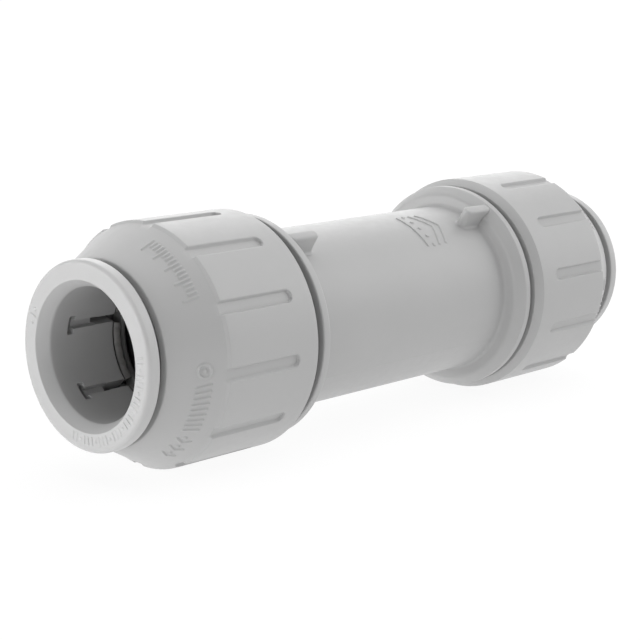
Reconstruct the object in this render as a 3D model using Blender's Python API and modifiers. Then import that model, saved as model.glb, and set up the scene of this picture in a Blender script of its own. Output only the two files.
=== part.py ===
"""Push fit coupling for 22 mm pipe, of the twist-to-lock kind, as an assembly of its separate pieces.

Frame: the origin is the middle of the coupling, +X runs along its axis towards the slip end, +Z is up.
The two ends hold the same mouldings, back to back. Each end has its own empty, whose +Z points outward
along the axis, and everything at that end is modelled in that empty's space.

Sizes below are in millimetres. A station is a distance from the middle of the coupling along its axis.
"""

import math

import bmesh
import bpy
from mathutils import Matrix, Vector

MM = 0.001
SEGMENTS = 36  # sides of a turned piece
GAP = 0.3  # clearance between pieces that touch

# Pipe and the bores it goes through
PIPE_R = 11.1
COLLET_BORE_R = PIPE_R + 0.2
BODY_BORE_R = PIPE_R + 0.5
STOP_RING_R = 9.9
STOP_RING_STATIONS = (30.0, 32.0)

# Body: tube, flanges, necks and lugs
TUBE_R = 16.1
FLANGE_R = 19.84
FLANGE_FRONT = 29.14
FLANGE_RIM_REAR = 27.65
FLANGE_SHOULDER = (18.3, 26.0)
FLANGE_REAR = 25.7
NECK_R = 17.4
NECK_END = 47.6
SEAL_BORE_R = 14.8
SEAL_BORE_FLOOR = 40.8
LUG_WIDTH = 2.0
LUG_NOSE = 20.7
LUG_TOP_R = 19.7
LUG_ANGLE = 31.6  # from +Z towards -Y

# Screw thread between neck and cap
THREAD_LEAD = 3.6
THREAD_START = 33.6
THREAD_TURNS = 1.75
THREAD_WIRE_R = 0.9
THREAD_CLEARANCE = 0.4
THREAD_STEPS = 20  # points a turn
QUARTER_TURN = 0.25

# Cap
CAP_R = 21.0
CAP_BACK = 30.55
CAP_BACK_R = 19.75
CAP_BACK_CORNER = 31.85
CAP_FRONT = 60.94
CAP_FRONT_R = 15.76
CAP_CONE_TOP = (20.45, 52.4)
CAP_BORE_R = NECK_R + 0.4
CAP_SHOULDER = 48.9
CHAMBER_R = 15.7
CHAMBER_CONE_START = 51.9
CAP_HOLE_R = 14.2
GRIP_GROOVES = 12
GRIP_GROOVE_WIDTH = 2.1
GRIP_GROOVE_FLOOR_R = 20.45
GRIP_GROOVE_END = 36.2
STOP_CAP_GROOVE_ANGLE = -5.2
SLIP_CAP_GROOVE_ANGLE = 20.2

# Collet and its fingers
COLLET_FRONT = 64.86
COLLET_FLANGE_R = 15.9
COLLET_FLANGE_BACK = 62.36
COLLET_EDGE_RADIUS = 0.8
MOUTH_R = 12.62
MOUTH_DEPTH = 2.26
COLLET_NECK_R = 13.8
FINGER_TIP = 49.0
FINGER_TIP_R = 14.1
FINGER_HEAD_R = 15.3
FINGER_HEAD = (51.1, 51.5)
FINGER_HEAD_CONE_END = 54.5
FINGERS = 6
FINGER_SLOT_ANGLE = 15.0
FINGER_SLOT_WIDTH = 1.4
FINGER_SLOT_END = 53.6  # a slot goes right through as far as this, and on to its bar as a shallow groove
SLOT_GROOVE_WIDTH = 1.6
SLOT_GROOVE_FLOOR_R = 12.25
SLOT_BAR_STATIONS = (57.8, 59.1)
SLOT_BAR_WIDTH = 3.4
SLOT_BAR_FLOOR_R = 12.9

# Grip teeth: a steel strip across each finger's tip, its inner edge bent into the way the pipe goes in
TOOTH_OUTER_R = 13.4
TOOTH_BEND = Vector((11.65, FINGER_TIP - GAP))
TOOTH_TIP = Vector((11.0, 47.6))
TOOTH_THICKNESS = 0.35
TOOTH_ARC = 51.0
TOOTH_STEPS = 6

# Seal
O_RING_R = 12.75
O_RING_SECTION_R = 1.7
O_RING_STATION = 42.8
O_RING_SIDES = 8
SPACER_R = 14.5
SPACER_BORE_R = 12.0
SPACER_STATIONS = (45.75, 46.65)

GREY_PLASTIC = (0.42, 0.42, 0.42)
COLLET_PLASTIC = (0.53, 0.53, 0.53)
SPACER_PLASTIC = (0.26, 0.26, 0.26)
SEAL_RUBBER = (0.025, 0.025, 0.026)
TOOTH_STEEL = (0.24, 0.235, 0.23)


def clear_scene():
    for obj in list(bpy.data.objects):
        bpy.data.objects.remove(obj, do_unlink=True)


def new_collection(name):
    collection = bpy.data.collections.new(name)
    bpy.context.scene.collection.children.link(collection)
    return collection


def material(name, colour, roughness, metallic=0.0):
    finish = bpy.data.materials.new(name)
    finish.use_nodes = True
    shader = finish.node_tree.nodes["Principled BSDF"]
    shader.inputs["Base Color"].default_value = (*colour, 1.0)
    shader.inputs["Roughness"].default_value = roughness
    shader.inputs["Metallic"].default_value = metallic
    return finish


def add_object(name, mesh, collection, parent, angle=0.0, finish=None):
    """Places a mesh in its parent's space, turned by an angle in degrees about the coupling's axis."""
    obj = bpy.data.objects.new(name, mesh)
    collection.objects.link(obj)
    obj.parent = parent
    obj.rotation_euler.z = math.radians(angle)
    if finish is not None:
        mesh.materials.clear()
        mesh.materials.append(finish)
    return obj


def as_cutter(obj):
    obj.hide_render = True
    obj.display_type = "WIRE"
    return obj


def combine(obj, other, operation):
    cut = obj.modifiers.new(f"{operation.lower()} {other.name}", "BOOLEAN")
    cut.operation = operation
    cut.solver = "EXACT"
    cut.object = other


def arc(centre, radius, start, end, steps):
    """Points of an arc in a (radius, station) outline, its angles in degrees from the outward direction."""
    points = []
    for step in range(steps + 1):
        angle = math.radians(start + (end - start) * step / steps)
        points.append((centre[0] + radius * math.cos(angle), centre[1] + radius * math.sin(angle)))
    return points


def outline_mesh(name, outline):
    """A closed (radius, station) outline as edges in the XZ plane, its outer side first, from top to bottom."""
    mesh = bpy.data.meshes.new(name)
    corners = [(radius * MM, 0.0, station * MM) for radius, station in outline]
    edges = [(i, (i + 1) % len(corners)) for i in range(len(corners))]
    mesh.from_pydata(corners, edges, [])
    return mesh


def turn(obj, segments=SEGMENTS):
    """Turns the object's outline about the coupling's axis."""
    screw = obj.modifiers.new("turned", "SCREW")
    screw.axis = "Z"
    screw.steps = segments
    screw.render_steps = segments
    screw.use_merge_vertices = True
    screw.merge_threshold = 0.00001
    screw.use_smooth_shade = True


def boxes_mesh(name, size, centre_r, station, count):
    """A ring of boxes about the axis. Size is radial, tangential and axial."""
    shape = bmesh.new()
    for number in range(count):
        place = (
            Matrix.Rotation(math.tau * number / count, 4, "Z")
            @ Matrix.Translation((centre_r * MM, 0.0, station * MM))
            @ Matrix.Diagonal((size[0] * MM, size[1] * MM, size[2] * MM, 1.0))
        )
        bmesh.ops.create_cube(shape, size=1.0, matrix=place)
    mesh = bpy.data.meshes.new(name)
    shape.to_mesh(mesh)
    shape.free()
    return mesh


def stadium(shape, width, inner_r, outer_r, near, far, place):
    """Adds a radial pad with a half-round end at the near station and a half-round end at the far one."""
    sides = 12
    half_side = math.pi / sides
    radius = width / 2 / math.cos(half_side)
    stand_up = Matrix.Rotation(math.pi / 2, 4, "Y") @ Matrix.Rotation(half_side, 4, "Z")
    made = bmesh.ops.create_cone(
        shape,
        cap_ends=True,
        segments=sides,
        radius1=radius * MM,
        radius2=radius * MM,
        depth=(outer_r - inner_r) * MM,
        matrix=Matrix.Translation(((inner_r + outer_r) / 2 * MM, 0.0, 0.0)) @ stand_up,
    )
    for vertex in made["verts"]:
        end = far - width / 2 if vertex.co.z > 0 else near + width / 2
        vertex.co.z += end * MM
        vertex.co = place @ vertex.co


def stadium_ring_mesh(name, width, inner_r, outer_r, near, far, angles):
    shape = bmesh.new()
    for angle in angles:
        stadium(shape, width, inner_r, outer_r, near, far, Matrix.Rotation(math.radians(angle), 4, "Z"))
    bmesh.ops.recalc_face_normals(shape, faces=shape.faces)
    mesh = bpy.data.meshes.new(name)
    shape.to_mesh(mesh)
    shape.free()
    return mesh


def thread(name, wire_r, first_turn, last_turn, collection, parent):
    """A right-hand coil of round wire on the neck's surface. Turns count from the male thread's start."""
    curve = bpy.data.curves.new(name, "CURVE")
    curve.dimensions = "3D"
    curve.bevel_depth = wire_r * MM
    curve.bevel_resolution = 1
    curve.use_fill_caps = True
    steps = round((last_turn - first_turn) * THREAD_STEPS)
    spline = curve.splines.new("POLY")
    spline.points.add(steps)
    for step, point in enumerate(spline.points):
        turns = first_turn + step / THREAD_STEPS
        angle = math.tau * turns
        station = THREAD_START + THREAD_LEAD * turns
        point.co = (NECK_R * math.cos(angle) * MM, NECK_R * math.sin(angle) * MM, station * MM, 1.0)
    guide = bpy.data.objects.new(f"{name} guide", curve)
    collection.objects.link(guide)
    guide.parent = parent
    bpy.context.view_layer.update()
    evaluated = guide.evaluated_get(bpy.context.evaluated_depsgraph_get())
    mesh = bpy.data.meshes.new_from_object(evaluated)
    place = guide.matrix_world.copy()
    bpy.data.objects.remove(guide, do_unlink=True)
    shape = bmesh.new()
    shape.from_mesh(mesh)
    bmesh.ops.remove_doubles(shape, verts=shape.verts, dist=0.00001)
    bmesh.ops.recalc_face_normals(shape, faces=shape.faces)
    shape.to_mesh(mesh)
    shape.free()
    obj = bpy.data.objects.new(name, mesh)
    collection.objects.link(obj)
    obj.matrix_world = place
    return as_cutter(obj)


def body_half_outside():
    """The body's outer side from its end face to the middle of one half, as (radius, station)."""
    return [
        (NECK_R - 0.5, NECK_END),
        (NECK_R, NECK_END - 0.5),
        (NECK_R, FLANGE_FRONT),
        (FLANGE_R - 0.2, FLANGE_FRONT),
        (FLANGE_R, FLANGE_FRONT - 0.25),
        (FLANGE_R, FLANGE_RIM_REAR),
        FLANGE_SHOULDER,
        (TUBE_R + 0.3, FLANGE_REAR),
        (TUBE_R, FLANGE_REAR - 0.3),
    ]


def body_outline():
    outside = body_half_outside()
    mirrored = [(radius, -station) for radius, station in reversed(outside)]
    ring_near, ring_far = STOP_RING_STATIONS
    inside = [
        (SEAL_BORE_R, -NECK_END),
        (SEAL_BORE_R, -SEAL_BORE_FLOOR),
        (BODY_BORE_R, -SEAL_BORE_FLOOR),
        (BODY_BORE_R, -ring_far),
        (STOP_RING_R, -ring_far),
        (STOP_RING_R, -ring_near),
        (BODY_BORE_R, -ring_near + 1.0),
        (BODY_BORE_R, SEAL_BORE_FLOOR),
        (SEAL_BORE_R, SEAL_BORE_FLOOR),
        (SEAL_BORE_R, NECK_END),
    ]
    return outside + mirrored + inside


def make_body(parts, cutters, stop_end, slip_end, finish):
    body = add_object(
        "coupling_body", outline_mesh("coupling_body", body_outline()), parts, slip_end, finish=finish
    )
    turn(body)
    lug = (LUG_WIDTH, TUBE_R - 1.5, LUG_TOP_R, LUG_NOSE, FLANGE_FRONT - 1.0)
    for end_name, end, local_angle in (
        ("stop", stop_end, -LUG_ANGLE),
        ("slip", slip_end, LUG_ANGLE - 180.0),
    ):
        mesh = stadium_ring_mesh(f"{end_name}_lug", *lug, [local_angle])
        combine(body, as_cutter(add_object(f"{end_name}_lug", mesh, cutters, end)), "UNION")
        combine(
            body, thread(f"{end_name}_male_thread", THREAD_WIRE_R, 0, THREAD_TURNS, cutters, end), "UNION"
        )


def cap_outline():
    cone_drop = CHAMBER_R - CAP_HOLE_R
    return [
        (CAP_FRONT_R, CAP_FRONT),
        (CAP_FRONT_R + 0.14, CAP_FRONT - 0.34),
        CAP_CONE_TOP,
        (CAP_R, CAP_CONE_TOP[1] - 0.4),
        (CAP_R, CAP_BACK_CORNER),
        (CAP_BACK_R, CAP_BACK),
        (CAP_BORE_R + 0.6, CAP_BACK),
        (CAP_BORE_R, CAP_BACK + 0.6),
        (CAP_BORE_R, CAP_SHOULDER),
        (CHAMBER_R, CAP_SHOULDER),
        (CHAMBER_R, CHAMBER_CONE_START),
        (CAP_HOLE_R, CHAMBER_CONE_START + 2 * cone_drop),
        (CAP_HOLE_R, CAP_FRONT),
    ]


def make_cap(name, parts, cutters, end, groove_angle, finish):
    cap = add_object(name, outline_mesh(name, cap_outline()), parts, end, groove_angle, finish)
    turn(cap)
    female = thread(
        f"{name}_female_thread",
        THREAD_WIRE_R + THREAD_CLEARANCE,
        (CAP_BACK - THREAD_START) / THREAD_LEAD - 0.5,
        THREAD_TURNS + QUARTER_TURN + 0.1,
        cutters,
        end,
    )
    combine(cap, female, "DIFFERENCE")
    angles = [360.0 * number / GRIP_GROOVES for number in range(GRIP_GROOVES)]
    mesh = stadium_ring_mesh(
        f"{name}_grooves",
        GRIP_GROOVE_WIDTH,
        GRIP_GROOVE_FLOOR_R,
        CAP_R + 1.5,
        GRIP_GROOVE_END,
        CAP_CONE_TOP[1] + 2.0,
        angles,
    )
    combine(cap, as_cutter(add_object(f"{name}_grooves", mesh, cutters, cap)), "DIFFERENCE")


def collet_outline():
    edge_centre = (COLLET_FLANGE_R - COLLET_EDGE_RADIUS, COLLET_FRONT - COLLET_EDGE_RADIUS)
    return [
        *arc(edge_centre, COLLET_EDGE_RADIUS, 90, 0, 3),
        (COLLET_FLANGE_R, COLLET_FLANGE_BACK),
        (COLLET_NECK_R, COLLET_FLANGE_BACK),
        (COLLET_NECK_R, FINGER_HEAD_CONE_END),
        (FINGER_HEAD_R, FINGER_HEAD[1]),
        (FINGER_HEAD_R, FINGER_HEAD[0]),
        (FINGER_TIP_R, FINGER_TIP),
        (COLLET_BORE_R + 0.3, FINGER_TIP),
        (COLLET_BORE_R, FINGER_TIP + 0.3),
        (COLLET_BORE_R, COLLET_FRONT - MOUTH_DEPTH),
        (MOUTH_R, COLLET_FRONT),
    ]


def make_collet(name, parts, cutters, end, finish):
    collet = add_object(name, outline_mesh(name, collet_outline()), parts, end, FINGER_SLOT_ANGLE, finish)
    turn(collet)
    bar_near, bar_far = SLOT_BAR_STATIONS
    bar_middle = (bar_near + bar_far) / 2
    for kind, width, near, far, outer_r in (
        ("slots", FINGER_SLOT_WIDTH, FINGER_TIP - 1.0, FINGER_SLOT_END, FINGER_HEAD_R + 1.5),
        ("grooves", SLOT_GROOVE_WIDTH, FINGER_SLOT_END - 0.5, bar_middle, SLOT_GROOVE_FLOOR_R),
        ("bars", SLOT_BAR_WIDTH, bar_near, bar_far, SLOT_BAR_FLOOR_R),
    ):
        inner_r = COLLET_BORE_R - 2.0
        size = (outer_r - inner_r, width, far - near)
        mesh = boxes_mesh(f"{name}_{kind}", size, (inner_r + outer_r) / 2, (near + far) / 2, FINGERS)
        combine(collet, as_cutter(add_object(mesh.name, mesh, cutters, collet)), "DIFFERENCE")


def tooth_section():
    """Corners of a tooth's section: a flat leg along the finger's end, and a bent leg down to the tip."""
    lean = (TOOTH_TIP - TOOTH_BEND).normalized()
    back = Vector((-lean.y, lean.x)) * TOOTH_THICKNESS
    rear = TOOTH_BEND.y - TOOTH_THICKNESS
    inner_bend = TOOTH_BEND + back
    inner_bend += lean * (rear - inner_bend.y) / lean.y
    return [
        Vector((TOOTH_OUTER_R, TOOTH_BEND.y)),
        TOOTH_BEND,
        TOOTH_TIP,
        TOOTH_TIP + back,
        inner_bend,
        Vector((TOOTH_OUTER_R, rear)),
    ]


def tooth_mesh():
    """The tooth's section spun through its arc about the axis, centred on local +X."""
    start = Matrix.Rotation(math.radians(-TOOTH_ARC / 2), 4, "Z")
    shape = bmesh.new()
    section = shape.faces.new([
        shape.verts.new(start @ Vector((corner.x * MM, 0.0, corner.y * MM))) for corner in tooth_section()
    ])
    bmesh.ops.spin(
        shape,
        geom=[section, *section.edges, *section.verts],
        cent=(0.0, 0.0, 0.0),
        axis=(0.0, 0.0, 1.0),
        angle=math.radians(TOOTH_ARC),
        steps=TOOTH_STEPS,
    )
    bmesh.ops.recalc_face_normals(shape, faces=shape.faces)
    mesh = bpy.data.meshes.new("grip_tooth")
    shape.to_mesh(mesh)
    shape.free()
    return mesh


def make_teeth(end_name, parts, end, finish):
    mesh = tooth_mesh()
    for number in range(FINGERS):
        angle = FINGER_SLOT_ANGLE + 360.0 * (number + 0.5) / FINGERS
        add_object(f"{end_name}_tooth_{number + 1}", mesh, parts, end, angle, finish)


def make_spacer(name, parts, end, finish):
    back, front = SPACER_STATIONS
    outline = [
        (SPACER_R, front),
        (SPACER_R, back),
        (SPACER_BORE_R, back),
        (SPACER_BORE_R, front - 0.3),
        (SPACER_BORE_R + 0.3, front),
    ]
    turn(add_object(name, outline_mesh(name, outline), parts, end, finish=finish))


def make_o_ring(name, parts, end, finish):
    bpy.ops.mesh.primitive_torus_add(
        major_segments=SEGMENTS,
        minor_segments=O_RING_SIDES,
        major_radius=O_RING_R * MM,
        minor_radius=O_RING_SECTION_R * MM,
    )
    made = bpy.context.object
    mesh = made.data
    bpy.data.objects.remove(made, do_unlink=True)
    mesh.name = name
    ring = add_object(name, mesh, parts, end, finish=finish)
    ring.location.z = O_RING_STATION * MM


def make_end_frame(name, parts, turn_about_y):
    """An empty on the coupling's axis whose +Z points out of this end."""
    end = bpy.data.objects.new(name, None)
    parts.objects.link(end)
    end.empty_display_size = 0.02
    end.rotation_euler.y = math.radians(turn_about_y)
    return end


def main():
    clear_scene()
    parts = new_collection("push_fit_coupling")
    cutters = new_collection("cutters")
    grey = material("grey_plastic", GREY_PLASTIC, 0.45)
    collet_grey = material("collet_plastic", COLLET_PLASTIC, 0.4)
    spacer_grey = material("spacer_plastic", SPACER_PLASTIC, 0.5)
    rubber = material("seal_rubber", SEAL_RUBBER, 0.6)
    steel = material("tooth_steel", TOOTH_STEEL, 0.45, metallic=1.0)
    stop_end = make_end_frame("stop_end", parts, -90)
    slip_end = make_end_frame("slip_end", parts, 90)
    bpy.context.view_layer.update()
    make_body(parts, cutters, stop_end, slip_end, grey)
    for name, end, groove_angle in (
        ("stop", stop_end, STOP_CAP_GROOVE_ANGLE),
        ("slip", slip_end, SLIP_CAP_GROOVE_ANGLE),
    ):
        make_cap(f"{name}_cap", parts, cutters, end, groove_angle, grey)
        make_collet(f"{name}_collet", parts, cutters, end, collet_grey)
        make_teeth(name, parts, end, steel)
        make_spacer(f"{name}_spacer", parts, end, spacer_grey)
        make_o_ring(f"{name}_o_ring", parts, end, rubber)


main()
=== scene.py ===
"""Looks of the push fit coupling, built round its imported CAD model.

Sizes are in millimetres, in the CAD frame: +X along the pipe axis towards the slip end, +Z up. A station is a
distance from the middle of the coupling along its axis. An angle goes round the axis in degrees, from +Z
towards -Y. Each end has a side: -1 for the stop end, +1 for the slip end.
"""

import math

import bmesh
import bpy
import numpy as np
from mathutils import Matrix, Vector


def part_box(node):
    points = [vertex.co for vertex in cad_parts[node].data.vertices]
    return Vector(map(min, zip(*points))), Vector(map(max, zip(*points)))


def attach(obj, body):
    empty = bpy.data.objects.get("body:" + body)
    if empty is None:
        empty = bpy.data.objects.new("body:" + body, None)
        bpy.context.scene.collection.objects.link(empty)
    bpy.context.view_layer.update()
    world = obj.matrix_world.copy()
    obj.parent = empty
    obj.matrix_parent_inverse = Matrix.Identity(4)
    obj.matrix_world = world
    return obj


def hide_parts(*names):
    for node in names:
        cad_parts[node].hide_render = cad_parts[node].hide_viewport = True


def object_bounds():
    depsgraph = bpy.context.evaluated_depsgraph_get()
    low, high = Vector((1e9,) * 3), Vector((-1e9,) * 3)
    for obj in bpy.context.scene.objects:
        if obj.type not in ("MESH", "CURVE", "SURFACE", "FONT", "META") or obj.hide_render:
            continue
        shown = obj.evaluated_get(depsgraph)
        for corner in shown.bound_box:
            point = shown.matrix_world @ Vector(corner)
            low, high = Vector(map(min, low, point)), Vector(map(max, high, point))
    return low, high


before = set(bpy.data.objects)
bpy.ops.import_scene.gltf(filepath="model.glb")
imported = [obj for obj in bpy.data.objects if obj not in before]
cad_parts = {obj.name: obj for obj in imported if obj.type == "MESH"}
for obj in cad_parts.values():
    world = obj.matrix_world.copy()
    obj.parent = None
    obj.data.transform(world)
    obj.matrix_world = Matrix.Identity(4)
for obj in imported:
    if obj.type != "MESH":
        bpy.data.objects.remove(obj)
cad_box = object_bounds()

MM = 0.001
SIDES = {"stop": -1, "slip": 1}


def cad_extent(node):
    """(nearest station, farthest station, outer radius) of a slip-end node, or of the body's slip half."""
    low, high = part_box(node)
    return max(low.x, 0.0) / MM, high.x / MM, high.z / MM


_, NECK_END, FLANGE_R = cad_extent("coupling_body")
CAP_BACK, CAP_FRONT, CAP_R = cad_extent("slip_cap")
FINGER_TIP, COLLET_FRONT, _ = cad_extent("slip_collet")
SPACER_BACK, SPACER_FRONT, SPACER_R = cad_extent("slip_spacer")
O_RING_BACK, O_RING_FRONT, O_RING_OUTER_R = cad_extent("slip_o_ring")

# The way the pipe goes in
COLLET_BORE_R = 11.3
BODY_BORE_R = 11.6
STOP_RING_R = 9.9
STOP_RING_STATIONS = (-32.0, -30.0)

# Body
TUBE_R = 16.1
FLANGE_FRONT = 29.14
FLANGE_RIM_REAR = 27.65
FLANGE_SHOULDER = (18.3, 26.0)
FLANGE_REAR = 25.7
NECK_R = 17.4
SEAL_BORE_R = 14.8
SEAL_BORE_FLOOR = 40.8
SPACER_BORE_R = 12.0
LUG_ANGLE = 31.6
LUG_WIDTH = 2.0
LUG_NOSE = 20.7
LUG_TAIL = FLANGE_FRONT - 2.4  # centre of the round tail, hidden in the flange
PARTING_ANGLES = (LUG_ANGLE + 90.0, LUG_ANGLE - 90.0)

# Screw thread
THREAD_LEAD = 3.6
THREAD_START = 33.6
THREAD_TURNS = 1.75
MALE_THREAD = (0.8, 0.85)  # height and half-width of the ridge
FEMALE_THREAD = (0.85, 1.25)
THREAD_RUN_OUT = 0.08  # the part of a turn over which a ridge rises or dies away

# Cap
CAP_BACK_R = 19.75
CAP_BORE_R = 17.8
CAP_HOLE_R = 14.2
CAP_SHOULDER = 48.9
CHAMBER_R = 15.7
CHAMBER_CONE = (51.9, 54.9)
CAP_FRONT_R = 15.71
CAP_BACK_CHAMFER = 1.3
CAP_BORE_CHAMFER = 0.6
CONE_TOP_R = 20.5
CONE_TOP = 52.35
CONE_TOP_CHAMFER = 0.45
GROOVES = 12
GROOVE_HALF_WIDTH = 1.05
GROOVE_FLOOR_R = 20.45
GROOVE_END = 36.2
GROOVE_ANGLE = {"stop": 5.2, "slip": 20.2}  # angle of one groove in each cap

# Collet
COLLET_FLANGE_R = 15.9
COLLET_FLANGE_BACK = 62.36
MOUTH_R = 12.62
MOUTH_DEPTH = 2.26
COLLET_NECK_R = 13.8
FINGER_HEAD_CONE_END = 54.5
FINGER_HEAD_R = 15.3
FINGER_HEAD = (51.1, 51.5)  # stations between which a finger's head is widest
FINGER_TIP_R = 14.1
FINGERS = 6
SLOT_ANGLE = 45.0
SLOT_WIDTH = 1.4
SLOT_END = 53.6  # a slot goes right through as far as this, and on to its bar as a shallow groove
SLOT_OUTER_R = 17.0
SLOT_GROOVE_WIDTH = 1.6
SLOT_GROOVE_FLOOR_R = 12.25
SLOT_BAR = (57.8, 59.1)
SLOT_BAR_WIDTH = 3.4
SLOT_BAR_FLOOR_R = 12.9
MARK_RISE = 0.13

# Teeth
TOOTH_OUTER_R = 13.4
TOOTH_BEND = np.array((11.65, FINGER_TIP - 0.3))
TOOTH_TIP = np.array((11.0, 47.6))
TOOTH_THICKNESS = 0.35
TOOTH_ARC = 51.0
NOTCH_DEPTH = 0.16


# ---------------------------------------------------------------- turned surfaces

PLAIN_TURN = 3.0  # degrees between the lines round the axis, where nothing needs them finer
PLAIN_STEP = 1.5  # longest step along an outline, where nothing needs it shorter
MARK_STEP = 0.12


def rounded(corners, step_angle=12.0):
    """A closed outline of (radius, station) points through (radius, station, fillet) corners."""
    points = []
    for index, (radius, station, fillet) in enumerate(corners):
        here = np.array((radius, station))
        before = np.array(corners[index - 1][:2]) - here
        after = np.array(corners[(index + 1) % len(corners)][:2]) - here
        room = 0.48 * min(np.linalg.norm(before), np.linalg.norm(after))
        before /= np.linalg.norm(before)
        after /= np.linalg.norm(after)
        half = math.acos(np.clip(before @ after, -1, 1)) / 2
        turn = math.pi - 2 * half
        if fillet == 0 or turn < 0.01:
            points.append(here)
            continue
        reach = min(fillet / math.tan(half), room)
        fillet = reach * math.tan(half)
        middle = (before + after) / np.linalg.norm(before + after)
        centre = here + middle * fillet / math.sin(half)
        start = here + before * reach - centre
        end = here + after * reach - centre
        steps = max(2, math.ceil(math.degrees(turn) / step_angle))
        for step in range(steps + 1):
            share = step / steps
            arm = start * math.sin((1 - share) * turn) + end * math.sin(share * turn)
            points.append(centre + arm / math.sin(turn))
    return np.array(points)


def refine(outline, spacing_at):
    """Splits the outline's long steps. spacing_at(radius, station) gives the longest step there."""
    points = []
    for here, after in zip(outline, np.roll(outline, -1, axis=0)):
        length = np.linalg.norm(after - here)
        fine = min(spacing_at(*(here + (after - here) * share)) for share in np.linspace(0, 1, 9))
        coarse = spacing_at(*here), spacing_at(*after)
        if length > 4 * fine and max(coarse) > fine:
            pieces = max(8, math.ceil(length / 1.0))
            marks = [here + (after - here) * k / pieces for k in range(pieces + 1)]
        else:
            marks = [here, after]
        for a, b in zip(marks, marks[1:]):
            step = spacing_at(*((a + b) / 2))
            count = max(1, math.ceil(np.linalg.norm(b - a) / step))
            points += [a + (b - a) * k / count for k in range(count)]
    return np.array(points)


def angle_lines(windows=()):
    """Angles round the axis: evenly spaced, with finer ones in each (centre, half width, step) window."""
    angles = list(np.arange(0.0, 360.0, PLAIN_TURN))
    for centre, half_width, step in windows:
        inside = [a for a in angles if abs((a - centre + 180) % 360 - 180) < half_width + step / 2]
        angles = [a for a in angles if a not in inside]
        angles += list((centre + np.arange(-half_width, half_width + step / 2, step)) % 360)
    return np.unique(np.round(angles, 4))


def outline_normals(outline):
    along = np.roll(outline, -1, axis=0) - np.roll(outline, 1, axis=0)
    along /= np.linalg.norm(along, axis=1)[:, None]
    return np.stack((-along[:, 1], along[:, 0]), axis=1)


def turned_mesh(name, outline, angles, side, relief=None):
    """Turns a closed outline about the axis. Its outer side runs from the highest station to the lowest.

    relief(radius, station, angle) gives how far each point stands out radially, and how far along the
    surface's normal.
    """
    radius, station = outline[:, :1], outline[:, 1:]
    angle = np.asarray(angles)[None, :]
    out = outline_normals(outline)
    radial, raised = relief(radius, station, angle) if relief else (0.0, 0.0)
    r = radius + radial + raised * out[:, :1] + 0 * angle
    s = station + raised * out[:, 1:] + 0 * angle
    turn = np.radians(angle)
    points = np.stack((side * s, -r * np.sin(turn), r * np.cos(turn)), axis=-1).reshape(-1, 3) * MM
    rows, columns = r.shape
    row, column = np.meshgrid(np.arange(rows), np.arange(columns), indexing="ij")
    next_row, next_column = (row + 1) % rows, (column + 1) % columns
    corners = ((row, column), (row, next_column), (next_row, next_column), (next_row, column))
    faces = np.stack([a * columns + b for a, b in corners], axis=-1).reshape(-1, 4)
    mesh = bpy.data.meshes.new(name)
    mesh.from_pydata(points.tolist(), [], (faces if side > 0 else faces[:, ::-1]).tolist())
    mesh.shade_smooth()
    return mesh


def smoothstep(value, low, high):
    share = np.clip((value - low) / (high - low), 0, 1)
    return share * share * (3 - 2 * share)


def around(angle, centre):
    """Signed angle from the centre, in degrees."""
    return (angle - centre + 180.0) % 360.0 - 180.0


# ---------------------------------------------------------------- marks: distances to strokes in the plane

# Half width and height of the raised lines in each place
TUBE_LINE = (0.25, 0.2)
CONE_LINE = (0.18, 0.22)
FACE_LINE = (0.16, MARK_RISE)
LINE_SLOPE = 0.07
DOT_R = 0.12


def stroke(u, v, start, end):
    """Distance from the points (u, v) to a straight stroke."""
    along = np.subtract(end, start)
    share = ((u - start[0]) * along[0] + (v - start[1]) * along[1]) / (along @ along)
    share = np.clip(share, 0, 1)
    return np.hypot(u - start[0] - share * along[0], v - start[1] - share * along[1])


def polyline(u, v, points):
    return np.minimum.reduce([stroke(u, v, a, b) for a, b in zip(points, points[1:])])


def ring(u, v, centre, radius):
    return np.abs(np.hypot(u - centre[0], v - centre[1]) - radius)


def raised_stroke(distance, half_width, height):
    """Height of a raised line with sloping sides."""
    return height * (1 - smoothstep(distance, half_width - LINE_SLOPE, half_width + LINE_SLOPE))


def dot(u, v, centre):
    """Distance to a small disc, which comes out as wide as a line and a little more."""
    return np.hypot(u - centre[0], v - centre[1]) - DOT_R


def slide_marks(u, v):
    """Two wide chevrons that point to the slip end, over a row of dots and a bar. v runs along the axis."""
    strokes = [polyline(u, v, [(-4.4, rise), (0.0, rise + 2.2), (4.4, rise)]) for rise in (-0.3, 1.6)]
    strokes += [dot(u, v, (place, -1.9)) for place in (-4.4, -2.2, 0.0, 2.2, 4.4)]
    strokes.append(stroke(u, v, (-4.4, -3.6), (4.4, -3.6)))
    return raised_stroke(np.minimum.reduce(strokes), *TUBE_LINE)


def size_marks(u, v):
    """A ruler's scale: every fourth line is long."""
    strokes = []
    for number in range(-8, 9):
        top = 1.3 if number % 4 == 0 else 0.1
        strokes.append(stroke(u, v, (0.8 * number, -1.2), (0.8 * number, top)))
    return raised_stroke(np.minimum.reduce(strokes), *CONE_LINE)


def rating_marks(u, v):
    """A ring round a dot, a block of slanted bars, and three chevrons with a dot before each."""
    strokes = [ring(u, v, (-9.2, 0.0), 1.1), dot(u, v, (-9.2, 0.0))]
    for number in range(9):
        place = -6.6 + 1.05 * number
        strokes.append(stroke(u, v, (place - 0.35, -1.2), (place + 0.35, 1.2)))
    for place in (4.6, 7.0, 9.4):
        strokes.append(polyline(u, v, [(place - 0.3, -1.2), (place + 0.5, 0.0), (place - 0.3, 1.2)]))
        strokes.append(dot(u, v, (place - 0.8, 0.0)))
    return raised_stroke(np.minimum.reduce(strokes), *CONE_LINE)


# ---------------------------------------------------------------- pieces


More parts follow.
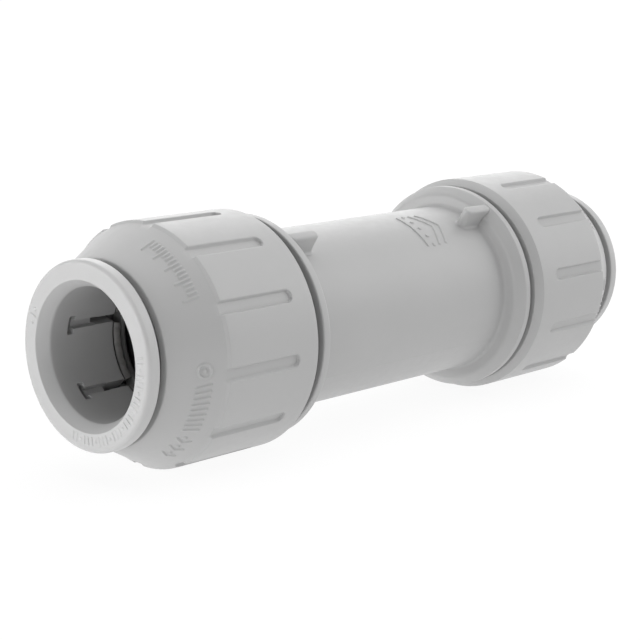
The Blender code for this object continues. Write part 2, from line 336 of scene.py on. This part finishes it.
def add_piece(name, mesh, body, finish, nodes):
    """Puts a mesh in the scene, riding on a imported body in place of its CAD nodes."""
    piece = bpy.data.objects.new(name, mesh)
    bpy.context.scene.collection.objects.link(piece)
    mesh.materials.append(finish)
    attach(piece, body)
    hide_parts(*nodes)
    return piece


def apply_booleans(obj, cutters, operation, sharp_angle=38.0):
    """Joins or cuts the object with each mesh, then keeps the result as its own mesh."""
    helpers = []
    for mesh in cutters:
        helper = bpy.data.objects.new("helper", mesh)
        bpy.context.scene.collection.objects.link(helper)
        cut = obj.modifiers.new(operation, "BOOLEAN")
        cut.operation = operation
        cut.solver = "EXACT"
        cut.object = helper
        helpers.append(helper)
    evaluated = obj.evaluated_get(bpy.context.evaluated_depsgraph_get())
    made = bpy.data.meshes.new_from_object(evaluated)
    obj.modifiers.clear()
    obj.data = made
    for helper in helpers:
        bpy.data.objects.remove(helper, do_unlink=True)
    made.shade_smooth()
    made.set_sharp_from_angle(angle=math.radians(sharp_angle))


# ---------------------------------------------------------------- body


def thread_ridge(station, angle, side, shape, extra_turns):
    """Height of a right-hand helical ridge.

    extra_turns lengthens it past the male thread, behind and ahead.
    """
    height, half_width = shape
    turns = (station - THREAD_START) / THREAD_LEAD
    from_line = turns - side * angle / 360.0
    nearest = np.round(from_line)
    across = np.abs(from_line - nearest) * THREAD_LEAD
    along = side * angle / 360.0 + nearest
    behind, ahead = extra_turns
    last = THREAD_TURNS + ahead
    run_in = smoothstep(along, -behind, -behind + THREAD_RUN_OUT)
    run_out = 1 - smoothstep(along, last - THREAD_RUN_OUT, last)
    bump = np.cos(np.clip(across / half_width, 0, 1) * math.pi / 2) ** 1.2
    return height * (run_in * run_out) * bump


def body_outline():
    outer = [
        (NECK_R, NECK_END, 0.5),
        (NECK_R, FLANGE_FRONT, 0.25),
        (FLANGE_R, FLANGE_FRONT, 0.3),
        (FLANGE_R, FLANGE_RIM_REAR, 0.25),
        (*FLANGE_SHOULDER, 1.5),
        (TUBE_R, FLANGE_REAR, 0.8),
    ]
    ring_near, ring_far = STOP_RING_STATIONS
    inner = [
        (SEAL_BORE_R, -NECK_END, 0.3),
        (SEAL_BORE_R, -SEAL_BORE_FLOOR, 0.2),
        (BODY_BORE_R, -SEAL_BORE_FLOOR, 0.4),
        (BODY_BORE_R, ring_near, 0.2),
        (STOP_RING_R, ring_near, 0.3),
        (STOP_RING_R, ring_far, 0.3),
        (BODY_BORE_R, ring_far + 1.0, 0.3),
        (BODY_BORE_R, SEAL_BORE_FLOOR, 0.4),
        (SEAL_BORE_R, SEAL_BORE_FLOOR, 0.2),
        (SEAL_BORE_R, NECK_END, 0.3),
    ]
    mirrored = [(radius, -station, fillet) for radius, station, fillet in reversed(outer)]
    return rounded(outer + mirrored + inner)


MARK_ANGLE = 29.0
MARK_STATION = 11.8
MARK_HALF_WIDTH = 5.9
MARK_HALF_HEIGHT = 4.8


def body_spacing(radius, station):
    """Long steps inside, short ones over the tube's mark and the threads."""
    if radius < TUBE_R - 0.05:
        return 4.0
    if radius < TUBE_R + 0.05 and abs(station - MARK_STATION) < MARK_HALF_HEIGHT:
        return MARK_STEP
    if radius < NECK_R + 0.05 and abs(abs(station) - 37.5) < 6.0:
        return 0.25
    return PLAIN_STEP


def body_relief(radius, station, angle):
    """The tube's mark and parting lines, and the outer threads."""
    on_tube = np.abs(radius - TUBE_R) < 0.02
    u = np.radians(around(angle, MARK_ANGLE)) * TUBE_R
    raised = np.where(on_tube, slide_marks(u, station - MARK_STATION), 0.0)
    for parting in PARTING_ANGLES:
        away = np.abs(np.radians(around(angle, parting))) * TUBE_R
        raised = raised + np.where(on_tube, 0.03 * (1 - smoothstep(away, 0.03, 0.16)), 0.0)
    on_neck = np.abs(radius - NECK_R) < 0.02
    for side in SIDES.values():
        ridge = thread_ridge(side * station, angle, side, MALE_THREAD, (0.0, 0.0))
        raised = raised + np.where(on_neck & (side * station > 0), ridge, 0.0)
    return 0.0, raised


def lug_mesh(side):
    """A rib under the flange, pulled straight out of the mould: rounded nose and top, flared foot."""
    half_width = LUG_WIDTH / 2
    centre_line = (LUG_NOSE + half_width, LUG_TAIL)
    top_r = FLANGE_R - 0.1
    edge = 0.45
    flare = 0.55
    # Height and inset of each ring: one buried in the tube's wall, then the flare, then the top edge
    rings = [(TUBE_R - 0.9, -flare)]
    for step in range(6):
        swing = math.radians(90 * step / 5)
        rings.append((TUBE_R - 0.03 + flare * (1 - math.cos(swing)), -flare * (1 - math.sin(swing))))
    for step in range(6):
        swing = math.radians(90 * step / 5)
        rings.append((top_r - edge * (1 - math.sin(swing)), edge * (1 - math.cos(swing))))
    steps = 12
    shape = bmesh.new()
    loops = []
    for height, inset in rings:
        loop = []
        for end, first in ((centre_line[0], 90.0), (centre_line[1], 270.0)):
            for step in range(steps + 1):
                swing = math.radians(first + 180.0 * step / steps)
                lateral = (half_width - inset) * math.sin(swing)
                along = end + (half_width - inset) * math.cos(swing)
                loop.append(shape.verts.new(Vector((side * along, -lateral, height)) * MM))
        loops.append(loop)
    count = len(loops[0])
    for low, high in zip(loops, loops[1:]):
        for k in range(count):
            shape.faces.new((low[k], low[(k + 1) % count], high[(k + 1) % count], high[k]))
    shape.faces.new(loops[0])
    shape.faces.new(loops[-1])
    bmesh.ops.recalc_face_normals(shape, faces=shape.faces)
    shape.transform(Matrix.Rotation(math.radians(LUG_ANGLE), 4, "X"))
    for face in shape.faces:
        face.smooth = True
    mesh = bpy.data.meshes.new("lug")
    shape.to_mesh(mesh)
    shape.free()
    return mesh


def make_body(finish):
    windows = [(MARK_ANGLE, math.degrees(MARK_HALF_WIDTH / TUBE_R), 0.42)]
    windows += [(parting % 360, 0.9, 0.15) for parting in PARTING_ANGLES]
    mesh = turned_mesh(
        "body", refine(body_outline(), body_spacing), angle_lines(windows), 1, body_relief
    )
    body = add_piece("body", mesh, "fitting_body", finish, ["coupling_body"])
    apply_booleans(body, [lug_mesh(side) for side in SIDES.values()], "UNION")


# ---------------------------------------------------------------- caps


def cap_outline():
    return rounded([
        (CAP_FRONT_R, CAP_FRONT, 0.35),
        (CONE_TOP_R, CONE_TOP, 0.25),
        (CAP_R, CONE_TOP - CONE_TOP_CHAMFER, 0.3),
        (CAP_R, CAP_BACK + CAP_BACK_CHAMFER, 0.15),
        (CAP_BACK_R, CAP_BACK, 0.2),
        (CAP_BORE_R + CAP_BORE_CHAMFER, CAP_BACK, 0.1),
        (CAP_BORE_R, CAP_BACK + CAP_BORE_CHAMFER, 0.2),
        (CAP_BORE_R, CAP_SHOULDER, 0.2),
        (CHAMBER_R, CAP_SHOULDER, 0.2),
        (CHAMBER_R, CHAMBER_CONE[0], 0.3),
        (CAP_HOLE_R, CHAMBER_CONE[1], 0.5),
        (CAP_HOLE_R, CAP_FRONT, 0.3),
    ])


# Angle of the middle, marks and half length
CONE_MARKS = ((37.0, size_marks, 8.2), (121.0, rating_marks, 10.9))
CONE_MARK_STATION = 55.5
CONE_MARK_R = 18.7
CONE_MARK_STRETCH = 1.15  # length along the cone's side over length along the axis


def on_cone(radius, station):
    """Whether a point is on the cap's outer cone, clear of its two edges."""
    return (radius > 16.2) & (radius < CONE_TOP_R - 0.15) & (station > CONE_TOP)


def cap_spacing(radius, station):
    """Short steps over the cone's marks, the round ends of the grooves and the thread."""
    if on_cone(radius, station) and abs(station - CONE_MARK_STATION) < 2.4:
        return MARK_STEP
    if radius > CAP_R - 0.05 and abs(station - GROOVE_END - 0.6) < 0.9:
        return 0.09
    if abs(radius - CAP_BORE_R) < 0.05 and station < 42.0:
        return 0.35
    return PLAIN_STEP


def groove_mask(station, angle, first_groove):
    """1 in the grip grooves, 0 on the lands between, with narrow sloping sides."""
    u = np.radians(around(angle * GROOVES, first_groove * GROOVES) / GROOVES) * CAP_R
    round_centre = GROOVE_END + GROOVE_HALF_WIDTH
    distance = np.hypot(u, np.minimum(station - round_centre, 0.0)) - GROOVE_HALF_WIDTH
    return 1 - smoothstep(distance, -0.12, 0.12)


def cap_relief(end, side):
    """The cap's grooves, marks and inner thread, as turned_mesh wants them."""

    def relief(radius, station, angle):
        mask = groove_mask(station, angle, GROOVE_ANGLE[end])
        outside = radius > CAP_BORE_R + 1.0
        radial = np.where(outside, -np.maximum(radius - GROOVE_FLOOR_R, 0.0) * mask, 0.0)
        raised = 0.0
        for centre, marks, _ in CONE_MARKS:
            u = np.radians(around(angle, centre)) * CONE_MARK_R
            v = (station - CONE_MARK_STATION) * CONE_MARK_STRETCH
            raised = raised + np.where(on_cone(radius, station), marks(u, v), 0.0)
        on_bore = np.abs(radius - CAP_BORE_R) < 0.02
        ridge = thread_ridge(station, angle, side, FEMALE_THREAD, (1.5, 0.35))
        return radial + np.where(on_bore, ridge, 0.0), raised

    return relief


def make_cap(end, finish):
    side = SIDES[end]
    per_mm = math.degrees(1 / CAP_R)
    windows = []
    for number in range(GROOVES):
        centre = (GROOVE_ANGLE[end] + 360.0 * number / GROOVES) % 360
        windows.append((centre, 1.35 * per_mm, 0.09 * per_mm))
    for centre, _, half_length in CONE_MARKS:
        windows.append((centre, math.degrees(half_length / CONE_MARK_R), 0.4))
    mesh = turned_mesh(
        f"{end}_cap_shell",
        refine(cap_outline(), cap_spacing),
        angle_lines(windows),
        side,
        cap_relief(end, side),
    )
    add_piece(f"{end}_cap_shell", mesh, f"{end}_screw_cap", finish, [f"{end}_cap"])


# ---------------------------------------------------------------- collets


def collet_outline():
    face = COLLET_FRONT - MARK_RISE
    return rounded([
        (COLLET_FLANGE_R, face, 0.8),
        (COLLET_FLANGE_R, COLLET_FLANGE_BACK, 0.25),
        (COLLET_NECK_R, COLLET_FLANGE_BACK, 0.3),
        (COLLET_NECK_R, FINGER_HEAD_CONE_END, 1.2),
        (FINGER_HEAD_R, FINGER_HEAD[1], 0.3),
        (FINGER_HEAD_R, FINGER_HEAD[0], 0.2),
        (FINGER_TIP_R, FINGER_TIP, 0.3),
        (COLLET_BORE_R, FINGER_TIP, 0.3),
        (COLLET_BORE_R, COLLET_FRONT - MOUTH_DEPTH, 1.2),
        (MOUTH_R, face, 0.2),
    ])


FACE_MARK_R = 13.85


def face_marks(u, v):
    """A scale of radial bars, with a dot in place of every fourth."""
    strokes = []
    for number in range(-14, 15):
        place = 0.96 * number
        if number % 4 == 0:
            strokes.append(dot(u, v, (place, 0.0)))
        else:
            strokes.append(stroke(u, v, (place, -0.6), (place, 0.6)))
    return raised_stroke(np.minimum.reduce(strokes), *FACE_LINE)


def dot_marks(u, v):
    """A bar between two dots."""
    strokes = [dot(u, v, (place, 0.0)) for place in (-1.3, 1.3)]
    strokes.append(stroke(u, v, (0, -0.6), (0, 0.6)))
    return raised_stroke(np.minimum.reduce(strokes), *FACE_LINE)


# Angle of the middle, marks and half length
FACE_MARKS = ((138.0, face_marks, 14.0), (292.0, dot_marks, 2.6))


def collet_relief(radius, station, angle):
    """The marks on the front face."""
    on_face = np.abs(station - (COLLET_FRONT - MARK_RISE)) < 0.001
    raised = 0.0
    for centre, marks, _ in FACE_MARKS:
        u = np.radians(around(angle, centre)) * FACE_MARK_R
        raised = raised + np.where(on_face, marks(u, radius - FACE_MARK_R), 0.0)
    return 0.0, raised


def collet_spacing(radius, station):
    """Short steps over the marked front face."""
    if station > COLLET_FRONT - MARK_RISE - 0.01:
        return 0.1
    return 1.2


def pocket_mesh(corners, floor_r, side):
    """Cutters for one pocket in each finger gap, out to a floor radius.

    Its corners are (lateral, station, fillet).
    """
    flat = rounded(corners)
    count = len(flat)
    shape = bmesh.new()
    for number in range(FINGERS):
        turn = Matrix.Rotation(math.radians(SLOT_ANGLE + 360.0 * number / FINGERS), 4, "X")
        low, high = (
            [
                shape.verts.new(turn @ Vector((side * station, -lateral, height)) * MM)
                for lateral, station in flat
            ]
            for height in (COLLET_BORE_R - 2.5, floor_r)
        )
        for k in range(count):
            shape.faces.new((low[k], low[(k + 1) % count], high[(k + 1) % count], high[k]))
        shape.faces.new(low)
        shape.faces.new(high)
    bmesh.ops.recalc_face_normals(shape, faces=shape.faces)
    mesh = bpy.data.meshes.new("pocket")
    shape.to_mesh(mesh)
    shape.free()
    return mesh


def oblong(width, near, far, fillet):
    """The corners of a pocket that lies evenly about its finger gap."""
    half = width / 2
    return [(-half, near, fillet), (half, near, fillet), (half, far, fillet), (-half, far, fillet)]


def make_collet(end, finish):
    side = SIDES[end]
    windows = [(centre, math.degrees(half / FACE_MARK_R), 0.45) for centre, _, half in FACE_MARKS]
    mesh = turned_mesh(
        f"{end}_collet_ring",
        refine(collet_outline(), collet_spacing),
        angle_lines(windows),
        side,
        collet_relief,
    )
    collet = add_piece(
        f"{end}_collet_ring", mesh, f"{end}_release_collet", finish, [f"{end}_collet"]
    )
    slot = oblong(SLOT_WIDTH, FINGER_TIP - 1.0, SLOT_END, 0.3)
    groove = oblong(SLOT_GROOVE_WIDTH, SLOT_END - 0.5, sum(SLOT_BAR) / 2, 0.2)
    bar = oblong(SLOT_BAR_WIDTH, *SLOT_BAR, 0.3)
    pockets = [
        pocket_mesh(slot, SLOT_OUTER_R, side),
        pocket_mesh(groove, SLOT_GROOVE_FLOOR_R, side),
        pocket_mesh(bar, SLOT_BAR_FLOOR_R, side),
    ]
    apply_booleans(collet, pockets, "DIFFERENCE")


def tooth_section(notch):
    """A flat leg along the finger's end and a bent leg down to the tip, which a notch draws back."""
    lean = TOOTH_TIP - TOOTH_BEND
    lean /= np.linalg.norm(lean)
    back = np.array((-lean[1], lean[0])) * TOOTH_THICKNESS
    rear = TOOTH_BEND[1] - TOOTH_THICKNESS
    inner_bend = TOOTH_BEND + back
    inner_bend = inner_bend + lean * (rear - inner_bend[1]) / lean[1]
    tip = TOOTH_TIP - lean * notch
    return rounded([
        (TOOTH_OUTER_R, TOOTH_BEND[1], 0.06),
        (*TOOTH_BEND, 0.3),
        (*tip, 0.05),
        (*(tip + back), 0.12),
        (*inner_bend, 0.1),
        (TOOTH_OUTER_R, rear, 0.06),
    ], 30.0)


def tooth_mesh(name, centre, side):
    """The tooth's section swept through its arc, with small notches along the tip."""
    steps, notches = 60, 5
    shape = bmesh.new()
    loops = []
    for step in range(steps + 1):
        share = step / steps
        angle = math.radians(centre + TOOTH_ARC * (share - 0.5))
        notch = NOTCH_DEPTH * abs(2 * ((share * notches) % 1.0) - 1)
        loop = []
        for radius, station in tooth_section(notch):
            place = Vector((side * station, -radius * math.sin(angle), radius * math.cos(angle)))
            loop.append(shape.verts.new(place * MM))
        loops.append(loop)
    count = len(loops[0])
    for low, high in zip(loops, loops[1:]):
        for k in range(count):
            shape.faces.new((low[k], low[(k + 1) % count], high[(k + 1) % count], high[k]))
    shape.faces.new(loops[0])
    shape.faces.new(loops[-1])
    bmesh.ops.recalc_face_normals(shape, faces=shape.faces)
    mesh = bpy.data.meshes.new(name)
    shape.to_mesh(mesh)
    shape.free()
    mesh.shade_smooth()
    mesh.set_sharp_from_angle(angle=math.radians(35.0))
    return mesh


def make_teeth(end, finish):
    """Each tooth takes its angle from its own CAD node."""
    side = SIDES[end]
    for number in range(FINGERS):
        node = f"{end}_tooth_{number + 1}"
        low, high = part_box(node)
        middle = (low + high) / 2
        centre = math.degrees(math.atan2(-middle.y, middle.z))
        mesh = tooth_mesh(f"{end}_grip_{number + 1}", centre, side)
        add_piece(mesh.name, mesh, f"{end}_release_collet", finish, [node])


# ---------------------------------------------------------------- seals


def make_spacer(end, finish):
    outline = rounded([
        (SPACER_R, SPACER_FRONT, 0.2),
        (SPACER_R, SPACER_BACK, 0.2),
        (SPACER_BORE_R, SPACER_BACK, 0.15),
        (SPACER_BORE_R, SPACER_FRONT, 0.3),
    ])
    mesh = turned_mesh(f"{end}_washer_ring", refine(outline, lambda r, s: 1.0), angle_lines(), SIDES[end])
    add_piece(mesh.name, mesh, f"{end}_washer", finish, [f"{end}_spacer"])


def make_o_ring(end, finish):
    """A round section with the thin flash line that its two-part mould leaves inside and out."""
    section_r = (O_RING_FRONT - O_RING_BACK) / 2
    centre_r = O_RING_OUTER_R - section_r
    centre = (O_RING_FRONT + O_RING_BACK) / 2
    points = []
    for degrees in np.arange(90.0, -270.0, -7.5):
        swing = math.radians(degrees)
        flash = 0.04 * (abs(math.sin(swing)) < 0.07)
        reach = section_r - 0.04 + flash
        points.append((centre_r + reach * math.cos(swing), centre + section_r * math.sin(swing)))
    mesh = turned_mesh(f"{end}_seal", np.array(points), angle_lines(), SIDES[end])
    add_piece(mesh.name, mesh, "fitting_body", finish, [f"{end}_o_ring"])


# ---------------------------------------------------------------- materials


class Nodes:
    """Short calls for building a material's node tree."""

    def __init__(self, name):
        self.material = bpy.data.materials.new(name)
        self.material.use_nodes = True
        self.tree = self.material.node_tree
        self.shader = self.tree.nodes["Principled BSDF"]
        self.place = self.tree.nodes.new("ShaderNodeTexCoord").outputs["Object"]

    def link(self, source, target):
        self.tree.links.new(source, target)

    def drive(self, socket, source):
        """Feeds one of the shader's sockets."""
        self.link(source, self.shader.inputs[socket])

    def noise(self, scale, detail=2.0, stretch=(1.0, 1.0, 1.0)):
        mapping = self.tree.nodes.new("ShaderNodeMapping")
        mapping.inputs["Scale"].default_value = stretch
        self.link(self.place, mapping.inputs["Vector"])
        node = self.tree.nodes.new("ShaderNodeTexNoise")
        node.inputs["Scale"].default_value = scale
        node.inputs["Detail"].default_value = detail
        self.link(mapping.outputs["Vector"], node.inputs["Vector"])
        return node.outputs["Fac"]

    def mapped(self, value, low, high):
        node = self.tree.nodes.new("ShaderNodeMapRange")
        node.inputs["From Min"].default_value = 0.3
        node.inputs["From Max"].default_value = 0.7
        node.inputs["To Min"].default_value = low
        node.inputs["To Max"].default_value = high
        self.link(value, node.inputs["Value"])
        return node.outputs["Result"]

    def blend(self, factor, first, second):
        node = self.tree.nodes.new("ShaderNodeMix")
        node.data_type = "RGBA"
        self.link(factor, node.inputs["Factor"])
        node.inputs["A"].default_value = (*first, 1.0)
        node.inputs["B"].default_value = (*second, 1.0)
        return node.outputs["Result"]

    def bump(self, height, distance, strength=1.0, below=None):
        node = self.tree.nodes.new("ShaderNodeBump")
        node.inputs["Distance"].default_value = distance
        node.inputs["Strength"].default_value = strength
        self.link(height, node.inputs["Height"])
        if below is not None:
            self.link(below, node.inputs["Normal"])
        return node.outputs["Normal"]


def shade(colour, amount):
    return tuple(channel * amount for channel in colour)


def moulded_plastic(name, colour, roughness):
    """Satin plastic: faint cloudy colour, flow streaks along the axis, and a fine spark-eroded grain."""
    nodes = Nodes(name)
    cloud = nodes.mapped(nodes.noise(90.0, 3.0, (0.6, 1.0, 1.0)), 0.0, 1.0)
    nodes.drive("Base Color", nodes.blend(cloud, shade(colour, 0.985), shade(colour, 1.015)))
    nodes.drive("Roughness", nodes.mapped(nodes.noise(700.0, 4.0), roughness - 0.05, roughness + 0.05))
    grain = nodes.bump(nodes.noise(5200.0, 2.0), 0.000012, 0.5)
    nodes.drive("Normal", nodes.bump(nodes.noise(160.0, 2.0, (0.4, 1.0, 1.0)), 0.00006, 0.35, grain))
    nodes.shader.inputs["IOR"].default_value = 1.49
    return nodes.material


def moulded_rubber(name):
    """Black rubber with a pale bloom in patches."""
    nodes = Nodes(name)
    bloom = nodes.mapped(nodes.noise(400.0, 4.0), 0.0, 1.0)
    nodes.drive("Base Color", nodes.blend(bloom, (0.021, 0.021, 0.022), (0.029, 0.029, 0.030)))
    nodes.drive("Roughness", nodes.mapped(nodes.noise(900.0, 3.0), 0.42, 0.6))
    nodes.drive("Normal", nodes.bump(nodes.noise(3000.0, 3.0), 0.00001, 0.6))
    return nodes.material


def pressed_steel(name):
    """Dull strip steel with rolling streaks along the axis."""
    nodes = Nodes(name)
    streaks = nodes.noise(1500.0, 3.0, (0.2, 1.0, 1.0))
    dark, light = (0.21, 0.205, 0.20), (0.27, 0.265, 0.26)
    nodes.drive("Base Color", nodes.blend(nodes.mapped(streaks, 0, 1), dark, light))
    nodes.drive("Roughness", nodes.mapped(nodes.noise(2500.0, 3.0), 0.4, 0.52))
    nodes.drive("Normal", nodes.bump(streaks, 0.00001, 0.5))
    nodes.shader.inputs["Metallic"].default_value = 1.0
    return nodes.material


# ---------------------------------------------------------------- stage


# The room's soft lamps: azimuth and elevation in degrees, and strength. All are equally wide. Those below the
# floor's level show only their upper edges, as a band of light along the horizon.
LAMPS = (
    (-45.0, 40.0, 2.4),
    (45.0, 40.0, 2.3),
    (-15.0, 0.0, 1.8),
    (45.0, 0.0, 1.6),
    (135.0, -12.0, 6.5),
    (180.0, -12.0, 7.5),
    (0.0, 90.0, 1.6),
)
LAMP_NARROWNESS = 8.0
FLOOR_HALF_SIZE = 30.0  # metres
FLOOR_GREY = 0.12
FLOOR_GLOW = 0.90


def make_floor():
    """A dark sheet that glows nearly white, like a light table, so that the object's shadow stays faint."""
    mesh = bpy.data.meshes.new("floor")
    shape = bmesh.new()
    bmesh.ops.create_grid(shape, x_segments=1, y_segments=1, size=FLOOR_HALF_SIZE)
    shape.to_mesh(mesh)
    shape.free()
    floor = bpy.data.objects.new("floor", mesh)
    floor.location.z = cad_box[0].z
    bpy.context.scene.collection.objects.link(floor)
    paint = Nodes("floor_paint")
    paint.shader.inputs["Base Color"].default_value = (FLOOR_GREY, FLOOR_GREY, FLOOR_GREY, 1.0)
    paint.shader.inputs["Roughness"].default_value = 0.9
    paint.shader.inputs["Specular IOR Level"].default_value = 0.0
    paint.shader.inputs["Emission Color"].default_value = (1.0, 1.0, 1.0, 1.0)
    paint.shader.inputs["Emission Strength"].default_value = FLOOR_GLOW
    mesh.materials.append(paint.material)


def make_world():
    """A dark room with wide soft lamps behind, beside and above the object, as the camera sees it."""
    world = bpy.data.worlds.new("studio")
    world.use_nodes = True
    tree = world.node_tree
    direction = tree.nodes.new("ShaderNodeTexCoord").outputs["Generated"]

    def calculate(kind, operation, first, second):
        node = tree.nodes.new(kind)
        node.operation = operation
        for socket, value in zip(node.inputs, (first, second)):
            if isinstance(value, bpy.types.NodeSocket):
                tree.links.new(value, socket)
            else:
                socket.default_value = value
        return node.outputs["Value"]

    total = 0.0
    for azimuth, elevation, strength in LAMPS:
        round_z, up = math.radians(azimuth), math.radians(elevation)
        towards = (math.cos(round_z) * math.cos(up), math.sin(round_z) * math.cos(up), math.sin(up))
        facing = calculate("ShaderNodeVectorMath", "DOT_PRODUCT", direction, towards)
        in_front = calculate("ShaderNodeMath", "MAXIMUM", facing, 0.0)
        lobe = calculate("ShaderNodeMath", "POWER", in_front, LAMP_NARROWNESS)
        glow = calculate("ShaderNodeMath", "MULTIPLY", lobe, strength)
        total = calculate("ShaderNodeMath", "ADD", glow, total)
    tree.links.new(total, tree.nodes["Background"].inputs["Strength"])
    tree.nodes["Background"].inputs["Color"].default_value = (1.0, 1.0, 1.0, 1.0)
    bpy.context.scene.world = world


CAMERA_PLACE = Vector((-0.23774, -0.21446, 0.05915))  # metres
CAMERA_FORWARD = Vector((0.71606, 0.67149, -0.19065))
CAMERA_RIGHT = Vector((0.68404, -0.72944, 0.0))
CAMERA_LENS = 97.40
CAMERA_SENSOR = 36.0


def make_camera():
    """Looks forward from its place, with its right-hand side level."""
    camera = bpy.data.cameras.new("camera")
    camera.lens = CAMERA_LENS
    camera.sensor_width = CAMERA_SENSOR
    camera.clip_start = 0.01
    view = bpy.data.objects.new("camera", camera)
    right = CAMERA_RIGHT.normalized()
    forward = CAMERA_FORWARD.normalized()
    up = right.cross(forward)
    turn = Matrix((right, up, -forward)).transposed()
    view.matrix_world = Matrix.Translation(CAMERA_PLACE) @ turn.to_4x4()
    bpy.context.scene.collection.objects.link(view)
    bpy.context.scene.camera = view


def main():
    grey = moulded_plastic("grey_plastic", (0.42, 0.42, 0.42), 0.42)
    collet_grey = moulded_plastic("collet_plastic", (0.48, 0.48, 0.48), 0.38)
    spacer_grey = moulded_plastic("spacer_plastic", (0.26, 0.26, 0.26), 0.5)
    rubber = moulded_rubber("seal_rubber")
    steel = pressed_steel("tooth_steel")
    make_body(grey)
    for end in SIDES:
        make_cap(end, grey)
        make_collet(end, collet_grey)
        make_teeth(end, steel)
        make_spacer(end, spacer_grey)
        make_o_ring(end, rubber)
    make_floor()
    make_world()
    make_camera()
    bpy.context.scene.view_settings.view_transform = "Standard"


main()
